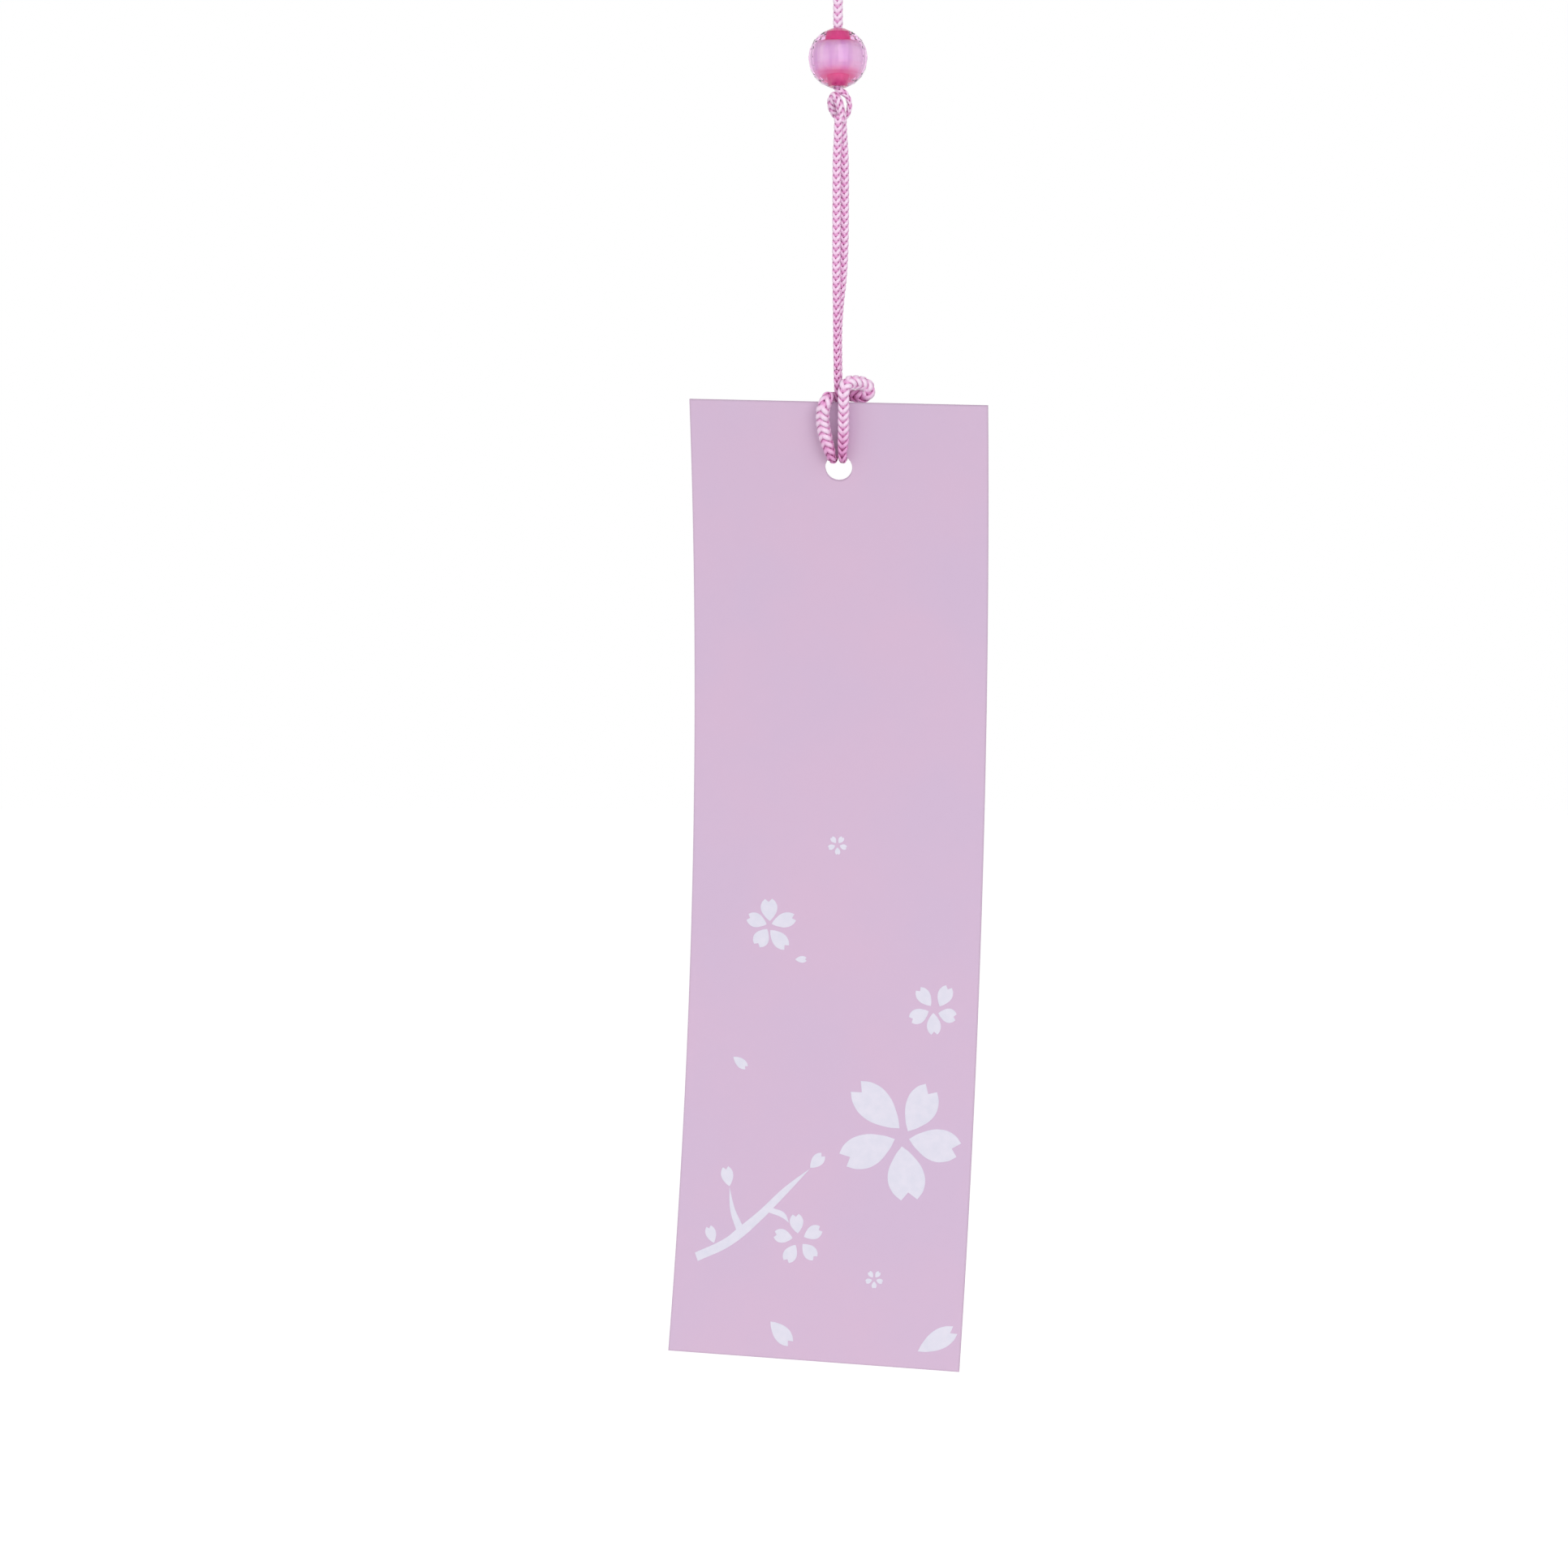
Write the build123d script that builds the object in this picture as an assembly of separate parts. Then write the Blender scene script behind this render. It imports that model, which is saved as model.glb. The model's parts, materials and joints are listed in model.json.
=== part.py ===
from build123d import *
import os
from math import cos, pi, radians, sin, sqrt, tan

# A glass wind bell. A braided cord carries a glass dome, a tube clapper, two faceted beads and a paper strip.
# Millimetres, +Z up. The origin is where the hanging loop rests on its hook.

# Cord and the clearances at its knots, bores and strands
CORD_D = 1.5
ARC_SHARE = 0.45
STRAND_GAP = 0.1
SEAT_GAP = 0.15
BORE_PLAY = 0.15

# Hanging loop
HOOK_R = 3.0
HOOK_BEND_SHARE = 0.998
LOOP_LEN = 60.0
LOOP_SHOULDER = 22.0
LOOP_THROAT = 2.5

# Overhand knots
KNOT_H = 5.6
KNOT_W = 3.9
KNOT_TILT = 25.0
KNOT_TURN_RISE = 1.35

# Faceted beads with a moulded-in core
BEAD_D = 9.9
BEAD_COLUMNS = 18
BEAD_ROW_ANGLE = 18.0
BEAD_END_ANGLE = 72.0
CORE_D = 6.0
CORE_H = 4.1
CORE_EDGE_R = 1.1
CORE_PLAY = 0.02

# Glass bell and what hangs it
NECK_LEN = 4.0
BELL_D = 80.0
BELL_WALL = 1.8
MOUTH_DROP = 22.0
RIM_LIP = 0.9
CROWN_HOLE_D = 4.0
STOP_BEAD_D = 8.0
STOP_BEAD_H = 7.2

# Clapper
TUBE_D = 6.0
TUBE_LEN = 40.0
TUBE_BELOW_RIM = 12.0
TUBE_EDGE = 0.4

# Tail cord, the pair of strands under it and the paper strip
TAIL_DROP = 26.0
STRAND_LEN = 40.1
TURN_START = 18.0
TURN_LEN = 16.0
TURN_STEPS = 4
HITCH_DROP = 15.7
HITCH_LEAD = 1.2
STRIP_W = 50.0
STRIP_L = 163.0
CARD_T = 0.35
HOLE_D = 4.6
HOLE_DROP = 11.0
HOLE_X = -0.4
HOLE_Y = 3.0
LEAN_TOP = 19.9
LEAN_END = -10.2
STRIP_ROLL = 2.4

# Hitch through the strip's hole, from the front strand to the back strand.
# Points are millimetres from the hole's centre: x to the right, y to the back, z up.
HITCH_POINTS = [
    (0.4, -3.15, 12.3),
    (0.4, -2.4, 10.6),
    (0.0, -1.6, 8.4),
    (-0.5, -0.3, 5.2),
    (-0.8, 1.2, 1.9),
    (-0.8, -1.3, 0.8),
    (-1.1, -2.5, 2.5),
    (-1.8, -3.3, 4.8),
    (-2.1, -4.1, 7.1),
    (-1.9, -5.0, 8.8),
    (-1.4, -5.5, 10.0),
    (-0.9, -4.9, 11.1),
    (-1.2, -2.9, 11.7),
    (-1.1, -0.5, 12.1),
    (0.0, 0.8, 12.3),
    (1.5, 0.4, 12.2),
    (2.6, -0.8, 11.9),
    (3.7, -1.6, 11.4),
    (4.6, -1.9, 11.25),
    (5.45, -2.2, 11.85),
    (5.45, -2.5, 13.0),
    (4.6, -3.1, 13.6),
    (3.7, -3.9, 13.7),
    (2.8, -4.8, 13.6),
    (2.1, -5.5, 13.0),
    (1.8, -5.8, 11.8),
    (1.8, -5.4, 10.0),
    (1.6, -4.5, 7.7),
    (1.4, -3.4, 5.1),
    (1.1, -2.3, 3.0),
    (0.8, -1.3, 0.8),
    (0.8, 1.2, 1.9),
    (1.0, 1.0, 4.2),
    (0.9, -0.1, 8.4),
    (0.5, -0.7, 10.6),
    (0.4, -1.2, 12.3),
]

# Heights worked out from the hook downwards
CORD_R = CORD_D / 2
BORE_R = CORD_R + BORE_PLAY
STRAND_R = CORD_R + STRAND_GAP / 2
PIVOT_DROP = SEAT_GAP + CORD_R
BEAD_R = BEAD_D / 2
BEAD_HALF_H = BEAD_R * sin(radians(BEAD_END_ANGLE))
BELL_R = BELL_D / 2
INNER_R = BELL_R - BELL_WALL
LOOP_KNOT_Z = -LOOP_LEN - KNOT_H / 2
BELL_PIVOT_Z = LOOP_KNOT_Z - KNOT_H / 2 - PIVOT_DROP
TOP_BEAD_Z = BELL_PIVOT_Z - NECK_LEN - BEAD_HALF_H
CROWN_Z = TOP_BEAD_Z - BEAD_HALF_H - SEAT_GAP
BELL_Z = CROWN_Z - BELL_R
RIM_Z = BELL_Z - MOUTH_DROP
STOP_BEAD_Z = CROWN_Z - BELL_WALL - SEAT_GAP - STOP_BEAD_H / 2
CROWN_KNOT_Z = STOP_BEAD_Z - STOP_BEAD_H / 2 - KNOT_H / 2
CLAPPER_PIVOT_Z = CROWN_KNOT_Z - KNOT_H / 2 - PIVOT_DROP
TUBE_BOTTOM_Z = RIM_Z - TUBE_BELOW_RIM
CLAPPER_KNOT_Z = TUBE_BOTTOM_Z - KNOT_H / 2
TAIL_PIVOT_Z = CLAPPER_KNOT_Z - KNOT_H / 2 - PIVOT_DROP
TAIL_BEAD_Z = TAIL_PIVOT_Z - TAIL_DROP
BEAD_KNOT_Z = TAIL_BEAD_Z - BEAD_HALF_H - SEAT_GAP - KNOT_H / 2
STRIP_PIVOT_Z = BEAD_KNOT_Z - KNOT_H / 2 - PIVOT_DROP
HITCH_Z = STRIP_PIVOT_Z - STRAND_LEN
HOLE_Z = HITCH_Z - HITCH_DROP


def largest_radii(points, held=None):
    """The radius of each corner's arc: as large as its two runs allow, or the size of what holds the cord there."""
    held = held or {}
    radii = []
    for i in range(1, len(points) - 1):
        before = Vector(*points[i]) - Vector(*points[i - 1])
        after = Vector(*points[i + 1]) - Vector(*points[i])
        half_turn = radians(before.get_angle(after)) / 2
        largest = ARC_SHARE * min(before.length, after.length) / tan(half_turn)
        radii.append(held.get(i, largest))
    return radii


def cord_tube(name, points, held=None):
    """A round cord along straight runs joined by tangent arcs, checked against its section times its length."""
    radii = largest_radii(points, held)
    path = FilletPolyline(*points, radius=radii)
    section = Plane(path @ 0, z_dir=path % 0) * Circle(CORD_R)
    tube = sweep(section, path=path)
    expected = pi * CORD_R**2 * path.length
    print(f"{name}: length {path.length:.1f}, least radius {min(radii):.2f}, volume {tube.volume / expected:.3f}")
    return tube


def straight_cord(top_z, bottom_z):
    """A plumb cord between two heights on the axis."""
    return Pos(0, 0, bottom_z) * Cylinder(CORD_R, top_z - bottom_z, align=(Align.CENTER, Align.CENTER, Align.MIN))


def pivoting_cord(pivot_z, bottom_z):
    """A plumb cord whose upper end is round, so that it can swing under the knot above it."""
    return straight_cord(pivot_z, bottom_z) + Pos(0, 0, pivot_z) * Sphere(CORD_R)


def knot(centre_z):
    """An overhand knot: the cord's own core with two slanting turns around it."""
    turn_radius = KNOT_W / 2 - CORD_R
    upper = Pos(0, 0, KNOT_TURN_RISE) * Rot(KNOT_TILT, 0, 0) * Torus(turn_radius, CORD_R)
    lower = Pos(0, 0, -KNOT_TURN_RISE) * Rot(-KNOT_TILT, 0, 0) * Torus(turn_radius, CORD_R)
    return Pos(0, 0, centre_z) * (Cylinder(CORD_R, KNOT_H) + upper + lower)


def hanging_loop():
    """The loop that goes over the hook, drawn together at its knot."""
    leg_x = HOOK_R + CORD_R
    throat_z = -LOOP_LEN + LOOP_THROAT
    left = [(-STRAND_R, 0, -LOOP_LEN), (-STRAND_R, 0, throat_z), (-leg_x, 0, -LOOP_SHOULDER), (-leg_x, 0, CORD_R)]
    right = [(-x, y, z) for x, y, z in reversed(left)]
    hook_bend = HOOK_BEND_SHARE * leg_x
    return cord_tube("hanging_loop", left + right, held={3: hook_bend, 4: hook_bend})


def core_profile(play):
    """Half section of the moulded core, or of its cavity when play is added."""
    radius = CORE_D / 2 + play
    half_height = CORE_H / 2 + play
    side = Pos(radius / 2, 0) * Rectangle(radius, 2 * half_height)
    outer_corners = side.vertices().group_by(Axis.X)[-1]
    return fillet(outer_corners, CORE_EDGE_R)


def core_solid(play):
    return revolve(Plane.XZ * core_profile(play), axis=Axis.Z)


def bead_core(centre_z):
    return Pos(0, 0, centre_z) * (core_solid(0) - Cylinder(BORE_R, 2 * BEAD_D))


def bead_shell(centre_z):
    """A bead cut in flat facets, in rows of latitude, with a cavity for its core."""
    rows = round(2 * BEAD_END_ANGLE / BEAD_ROW_ANGLE)
    rings = []
    for i in range(rows + 1):
        latitude = radians(-BEAD_END_ANGLE + 2 * BEAD_END_ANGLE * i / rows)
        ring = RegularPolygon(BEAD_R * cos(latitude), BEAD_COLUMNS)
        rings.append(Pos(0, 0, BEAD_R * sin(latitude)) * ring)
    cut = loft(rings, ruled=True)
    return Pos(0, 0, centre_z) * (cut - core_solid(CORE_PLAY) - Cylinder(BORE_R, 2 * BEAD_D))


def stop_bead():
    """The plain bead inside the crown that the bell rests on, with flat ends."""
    ball = Sphere(STOP_BEAD_D / 2) & Cylinder(STOP_BEAD_D, STOP_BEAD_H)
    return Pos(0, 0, STOP_BEAD_Z) * (ball - Cylinder(BORE_R, STOP_BEAD_D))


def glass_bell():
    """A blown dome: part of a hollow ball, open below, with a hole in its crown and a rounded rim."""
    hole_r = CROWN_HOLE_D / 2
    outer_rim = (sqrt(BELL_R**2 - MOUTH_DROP**2), -MOUTH_DROP)
    inner_rim = (sqrt(INNER_R**2 - MOUTH_DROP**2), -MOUTH_DROP)
    lip = ((outer_rim[0] + inner_rim[0]) / 2, -MOUTH_DROP - RIM_LIP)
    outer_crown = (hole_r, sqrt(BELL_R**2 - hole_r**2))
    inner_crown = (hole_r, sqrt(INNER_R**2 - hole_r**2))
    shoulder = sqrt(0.5)
    wall = [
        ThreePointArc(outer_crown, (BELL_R * shoulder, BELL_R * shoulder), outer_rim),
        ThreePointArc(outer_rim, lip, inner_rim),
        ThreePointArc(inner_rim, (INNER_R * shoulder, INNER_R * shoulder), inner_crown),
        Line(inner_crown, outer_crown),
    ]
    return Pos(0, 0, BELL_Z) * revolve(Plane.XZ * make_face(wall), axis=Axis.Z)


def clapper_tube():
    """A glass tube threaded on the cord, with its end edges eased."""
    tube = Cylinder(TUBE_D / 2, TUBE_LEN) - Cylinder(BORE_R, TUBE_LEN)
    ends = tube.faces().filter_by(Axis.Z)
    return Pos(0, 0, TUBE_BOTTOM_Z + TUBE_LEN / 2) * fillet(ends.edges(), TUBE_EDGE)


def strand(name, side):
    """One of the two strands under the tail bead: side by side at the knot, one behind the other at the hitch."""
    turn_from = STRIP_PIVOT_Z - TURN_START
    points = [(side * STRAND_R, 0, STRIP_PIVOT_Z)]
    for i in range(TURN_STEPS + 1):
        angle = pi / 2 * i / TURN_STEPS
        height = turn_from - TURN_LEN * i / TURN_STEPS
        points.append((side * STRAND_R * cos(angle), side * STRAND_R * sin(angle), height))
    points.append((0, side * STRAND_R, HITCH_Z))
    round_end = Pos(*points[0]) * Sphere(CORD_R)
    return cord_tube(name, points) + round_end


def strip_hitch():
    """The slack loop that ties the strip: down the back, through the hole, up the front and round the strands."""
    top_z = HITCH_Z - STRAND_GAP
    start = [(0, -STRAND_R, top_z), (0, -STRAND_R, top_z - HITCH_LEAD)]
    end = [(0, STRAND_R, top_z - HITCH_LEAD), (0, STRAND_R, top_z)]
    middle = [(HOLE_X + x, HOLE_Y + y, HOLE_Z + z) for x, y, z in HITCH_POINTS]
    return cord_tube("strip_hitch", start + middle + end)


def paper_strip():
    """A card strip that curls forward at both ends and hangs a little askew from its hole."""
    curl = LEAN_TOP - LEAN_END
    curl_r = STRIP_L / radians(curl)
    hole_lean = LEAN_TOP - curl * HOLE_DROP / STRIP_L
    centre = (-curl_r * cos(radians(hole_lean)), -curl_r * sin(radians(hole_lean)))
    back = CenterArc(centre, curl_r + CARD_T / 2, LEAN_END, curl)
    front = CenterArc(centre, curl_r - CARD_T / 2, LEAN_END, curl)
    section = make_face([back, Line(back @ 1, front @ 1), front, Line(front @ 0, back @ 0)])
    card = extrude(Plane.YZ * section, STRIP_W / 2, both=True)
    punch = Rot(hole_lean - 90, 0, 0) * Cylinder(HOLE_D / 2, 20 * CARD_T)
    return Pos(HOLE_X, HOLE_Y, HOLE_Z) * Rot(0, STRIP_ROLL, 0) * (card - punch)


PIECES = {
    "hanging_loop": hanging_loop(),
    "loop_knot": knot(LOOP_KNOT_Z),
    "crown_cord": pivoting_cord(BELL_PIVOT_Z, CROWN_KNOT_Z + KNOT_H / 2),
    "top_bead_shell": bead_shell(TOP_BEAD_Z),
    "top_bead_core": bead_core(TOP_BEAD_Z),
    "glass_bell": glass_bell(),
    "stop_bead": stop_bead(),
    "crown_knot": knot(CROWN_KNOT_Z),
    "clapper_cord": pivoting_cord(CLAPPER_PIVOT_Z, CLAPPER_KNOT_Z + KNOT_H / 2),
    "clapper_tube": clapper_tube(),
    "clapper_knot": knot(CLAPPER_KNOT_Z),
    "tail_cord": pivoting_cord(TAIL_PIVOT_Z, BEAD_KNOT_Z + KNOT_H / 2),
    "tail_bead_shell": bead_shell(TAIL_BEAD_Z),
    "tail_bead_core": bead_core(TAIL_BEAD_Z),
    "bead_knot": knot(BEAD_KNOT_Z),
    "strip_cord_left": strand("strip_cord_left", -1),
    "strip_cord_right": strand("strip_cord_right", 1),
    "strip_hitch": strip_hitch(),
    "paper_strip": paper_strip(),
}

os.makedirs("parts", exist_ok=True)
for name, piece in PIECES.items():
    export_step(piece, f"parts/{name}.step")

JOINT_HEIGHTS = {
    "bell_swing": BELL_PIVOT_Z,
    "top_bead_turn": TOP_BEAD_Z,
    "bell_turn": BELL_Z,
    "clapper_swing": CLAPPER_PIVOT_Z,
    "tail_swing": TAIL_PIVOT_Z,
    "bead_lift": TAIL_BEAD_Z,
    "strip_swing": STRIP_PIVOT_Z,
    "strip_twist": HITCH_Z,
}
for name, height in JOINT_HEIGHTS.items():
    print(f"{name}: z {height:.3f}")
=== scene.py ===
# %% [markdown]
# # A glass wind bell and its paper strip
#
# A furin hangs under the eaves. A braided cord carries a blown glass dome, a clapper, two clear
# beads and a strip of card that catches the wind and swings the clapper. The solids of every piece
# are already made at their real size, so this lesson dresses them: the braid of the cord, the cut
# acrylic of the beads, the curl and print of the card, and the glass.

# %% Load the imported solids
import json
from math import acos, asin, cos, pi, radians, sin, tan

import bmesh
import bpy
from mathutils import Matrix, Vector
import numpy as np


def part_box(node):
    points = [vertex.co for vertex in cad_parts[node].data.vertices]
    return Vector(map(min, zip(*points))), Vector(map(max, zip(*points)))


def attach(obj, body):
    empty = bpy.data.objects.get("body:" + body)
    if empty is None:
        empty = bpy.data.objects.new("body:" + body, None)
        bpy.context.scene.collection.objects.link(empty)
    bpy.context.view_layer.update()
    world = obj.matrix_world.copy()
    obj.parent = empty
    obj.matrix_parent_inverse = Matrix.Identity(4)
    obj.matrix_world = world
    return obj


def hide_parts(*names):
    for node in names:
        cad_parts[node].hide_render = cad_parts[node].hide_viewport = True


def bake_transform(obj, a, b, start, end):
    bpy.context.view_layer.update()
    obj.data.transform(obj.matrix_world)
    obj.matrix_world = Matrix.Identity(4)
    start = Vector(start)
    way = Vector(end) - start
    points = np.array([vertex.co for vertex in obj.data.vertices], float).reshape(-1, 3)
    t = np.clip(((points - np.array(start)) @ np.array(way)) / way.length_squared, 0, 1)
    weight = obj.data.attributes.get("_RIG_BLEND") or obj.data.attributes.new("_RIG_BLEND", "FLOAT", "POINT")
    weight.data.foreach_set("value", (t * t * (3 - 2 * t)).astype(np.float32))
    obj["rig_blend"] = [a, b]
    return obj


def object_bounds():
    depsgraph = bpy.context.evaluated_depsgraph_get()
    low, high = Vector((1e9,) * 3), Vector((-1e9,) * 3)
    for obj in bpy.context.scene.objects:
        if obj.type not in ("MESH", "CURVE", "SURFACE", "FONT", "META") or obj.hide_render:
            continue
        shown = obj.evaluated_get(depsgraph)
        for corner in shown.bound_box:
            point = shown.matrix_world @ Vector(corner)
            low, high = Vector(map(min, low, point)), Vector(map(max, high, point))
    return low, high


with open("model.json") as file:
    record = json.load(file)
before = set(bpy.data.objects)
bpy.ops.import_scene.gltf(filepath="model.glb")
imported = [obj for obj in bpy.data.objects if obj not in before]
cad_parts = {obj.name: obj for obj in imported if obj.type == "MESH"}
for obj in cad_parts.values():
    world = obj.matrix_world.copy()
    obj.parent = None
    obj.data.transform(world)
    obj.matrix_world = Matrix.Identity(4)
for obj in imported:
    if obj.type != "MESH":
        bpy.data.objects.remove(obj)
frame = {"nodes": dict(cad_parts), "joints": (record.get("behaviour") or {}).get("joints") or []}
cad_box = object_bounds()
MM = 0.001
JOINT_Z = {joint["name"]: joint["pos_m"][2] for joint in frame["joints"] if "pos_m" in joint}


def middle(node):
    """The middle of a solid's box."""
    low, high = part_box(node)
    return (low + high) / 2


print("solids:", len(frame["nodes"]), "box in mm:", [round(x / MM, 1) for x in cad_box[1] - cad_box[0]])

# %% [markdown]
# ## The camera
#
# The photograph was taken from about the height of the strip's middle, level, and a little from the
# right. A camera that doesn't tilt keeps upright lines upright, so only its turn, its distance and
# the pixel where the bead sits are needed. The lens follows from the distance and the frame's width.

# %% Camera
PHOTO_SIDE = 1932
PIXEL = MM / 7.47  # real size of a photo pixel at the bead
BEAD_PIXEL = (1032.5, 72)
VIEW_TURN = radians(11.04)
VIEW_DISTANCE = 585.4 * MM
SENSOR = 36

scene = bpy.context.scene
to_right = Vector((cos(VIEW_TURN), sin(VIEW_TURN), 0))
to_camera = Vector((sin(VIEW_TURN), -cos(VIEW_TURN), 0))
aim = middle("tail_bead_shell")
aim += to_right * (PHOTO_SIDE / 2 - BEAD_PIXEL[0]) * PIXEL
aim.z += (BEAD_PIXEL[1] - PHOTO_SIDE / 2) * PIXEL
camera = bpy.data.objects.new("photo_camera", bpy.data.cameras.new("photo_camera"))
camera.data.sensor_width = SENSOR
camera.data.lens = SENSOR * VIEW_DISTANCE / (PHOTO_SIDE * PIXEL)
camera.location = aim + to_camera * VIEW_DISTANCE
camera.rotation_euler = (pi / 2, 0, VIEW_TURN)
scene.collection.objects.link(camera)
scene.camera = camera
scene.view_settings.view_transform = "Standard"
print("camera at", [round(x / MM, 1) for x in camera.location], "lens", round(camera.data.lens, 2))

# %% [markdown]
# ## Colours and nodes
#
# A shader socket takes linear light, but a colour is easiest to judge as the sRGB hex value that a
# picture editor shows, so one function turns the second into the first. Another adds a node with its
# settings and its links, which keeps each material down to a few readable lines, and two more start and
# finish a material.

# %% Helpers for materials


def linear(hex_colour):
    """An sRGB hex colour as linear red, green, blue and alpha."""
    parts = [int(hex_colour[i:i + 2], 16) / 255 for i in (1, 3, 5)]
    return (*[c / 12.92 if c <= 0.04045 else ((c + 0.055) / 1.055) ** 2.4 for c in parts], 1)


def add_node(tree, kind, inputs=None, **settings):
    """A new node, each of its inputs set to a value, or linked if the value is a node's output."""
    node = tree.nodes.new(kind)
    for name, value in settings.items():
        setattr(node, name, value)
    for name, value in (inputs or {}).items():
        if isinstance(value, bpy.types.NodeSocket):
            tree.links.new(value, node.inputs[name])
        else:
            node.inputs[name].default_value = value
    return node


def new_material(name):
    """A new material and its node tree, which is still empty."""
    material = bpy.data.materials.new(name)
    material.use_nodes = True
    material.node_tree.nodes.clear()
    return material, material.node_tree


def finish_material(tree, shader):
    """Links a shader to the material's output."""
    add_node(tree, "ShaderNodeOutputMaterial", {"Surface": shader.outputs[0]})


# %% [markdown]
# ## Light, floor and background
#
# The photograph has a pure white background and soft light from both sides, a little stronger from
# the right. A white world for what the camera sees, directly or in glass, gives the background, while
# a dimmer world lights the object, so its colours aren't washed out. Two softboxes add the soft shadows
# and a gloss on glass, beads and yarn. A darker ceiling gives clear glass and acrylic something to draw
# their edges with. The floor is far below and glows a little to the camera, so that it is white wherever
# no shadow falls.

# %% White world
AMBIENT = 0.575
CEILING = 0.35
CEILING_EDGE = 0.45  # share of the way up where the white starts to darken
CEILING_MIDDLE = 0.95  # and where it is darkest


def seen_rays(tree):
    """1 for what the camera sees, directly, mirrored or through glass, and 0 for falling light."""
    path = add_node(tree, "ShaderNodeLightPath").outputs
    mirrored = add_node(tree, "ShaderNodeMath", {0: path["Is Glossy Ray"], 1: path["Is Transmission Ray"]},
                        operation="MAXIMUM")
    return add_node(tree, "ShaderNodeMath", {0: path["Is Camera Ray"], 1: mirrored.outputs[0]},
                    operation="MAXIMUM").outputs[0]


scene.world = bpy.data.worlds.new("white_studio")
scene.world.use_nodes = True
tree = scene.world.node_tree
tree.nodes.clear()
lighting = add_node(tree, "ShaderNodeBackground", {"Color": (1, 1, 1, 1), "Strength": AMBIENT})
sky = add_node(tree, "ShaderNodeTexCoord").outputs["Generated"]
upward = add_node(tree, "ShaderNodeSeparateXYZ", {0: sky}).outputs["Z"]
ceiling = add_node(tree, "ShaderNodeMapRange",
                   {"Value": upward, "From Min": CEILING_EDGE, "From Max": CEILING_MIDDLE,
                    "To Min": 1.0, "To Max": CEILING})
backdrop = add_node(tree, "ShaderNodeBackground", {"Color": (1, 1, 1, 1), "Strength": ceiling.outputs[0]})
both = add_node(tree, "ShaderNodeMixShader",
                {0: seen_rays(tree), 1: lighting.outputs[0], 2: backdrop.outputs[0]})
add_node(tree, "ShaderNodeOutputWorld", {"Surface": both.outputs[0]})
print("world:", scene.world.name)

# %% Softboxes
KEY_ON_FACE = 0.29
FILL_ON_FACE = 0.12
BOX_DISTANCE = 1.5
BOX_WIDTH = 0.9
BOX_HEIGHT = 1.3


def add_softbox(name, turn, height, on_face):
    """A softbox: turn is degrees to the right of the strip's face, on_face the light it gives that face."""
    box = bpy.data.objects.new(name, bpy.data.lights.new(name, "AREA"))
    turn, height = radians(turn), radians(height)
    towards = Vector((sin(turn) * cos(height), -cos(turn) * cos(height), sin(height)))
    box.location = aim + towards * BOX_DISTANCE
    box.rotation_euler = towards.to_track_quat("Z", "Y").to_euler()
    box.data.shape = "RECTANGLE"
    box.data.size, box.data.size_y = BOX_WIDTH, BOX_HEIGHT
    box.data.energy = on_face * (pi * BOX_DISTANCE) ** 2 / (cos(turn) * cos(height))
    scene.collection.objects.link(box)


add_softbox("key_softbox", turn=34, height=20, on_face=KEY_ON_FACE)
add_softbox("fill_softbox", turn=-42, height=16, on_face=FILL_ON_FACE)
print("lights:", len(bpy.data.lights))

# %% Floor
FLOOR_GLOW = 0.55
FLOOR_DROP = 130 * MM
FLOOR_SIDE = 60

white_floor, tree = new_material("white_paper_floor")
matt = add_node(tree, "ShaderNodeBsdfDiffuse", {"Color": linear("#EAEAEA")})
glow_strength = add_node(tree, "ShaderNodeMath", {0: seen_rays(tree), 1: FLOOR_GLOW}, operation="MULTIPLY")
glow = add_node(tree, "ShaderNodeEmission", {"Strength": glow_strength.outputs[0]})
finish_material(tree, add_node(tree, "ShaderNodeAddShader", {0: matt.outputs[0], 1: glow.outputs[0]}))

bm = bmesh.new()
bmesh.ops.create_grid(bm, x_segments=1, y_segments=1, size=FLOOR_SIDE / 2)
bmesh.ops.translate(bm, verts=bm.verts, vec=(0, 0, cad_box[0].z - FLOOR_DROP))
floor = bpy.data.objects.new("floor", bpy.data.meshes.new("floor"))
bm.to_mesh(floor.data)
bm.free()
floor.data.materials.append(white_floor)
scene.collection.objects.link(floor)
print("floor at z", round(floor.data.vertices[0].co.z / MM), "mm")

# %% [markdown]
# ## The cord's finish
#
# The cord is braided from bright nylon yarns dyed pale pink. On the crests of the yarns the filaments
# shine almost white, and between them the light bounces from yarn to yarn and comes back a deep pink.
# Both are painted into the colour: the braid's own mesh carries its height from the bottom of the braid
# to its crest, and the colour follows it, from painted shade in the recesses to a painted highlight on
# the crests.

# %% Braided nylon
FILAMENT = 0.16 * MM  # real filaments are near 0.02 mm, drawn coarser so that they show
TONE_SPREAD = 0.35  # how far the filaments' tone strays, as a share of the braid's height
TONE_SHIFT = -0.17


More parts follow.
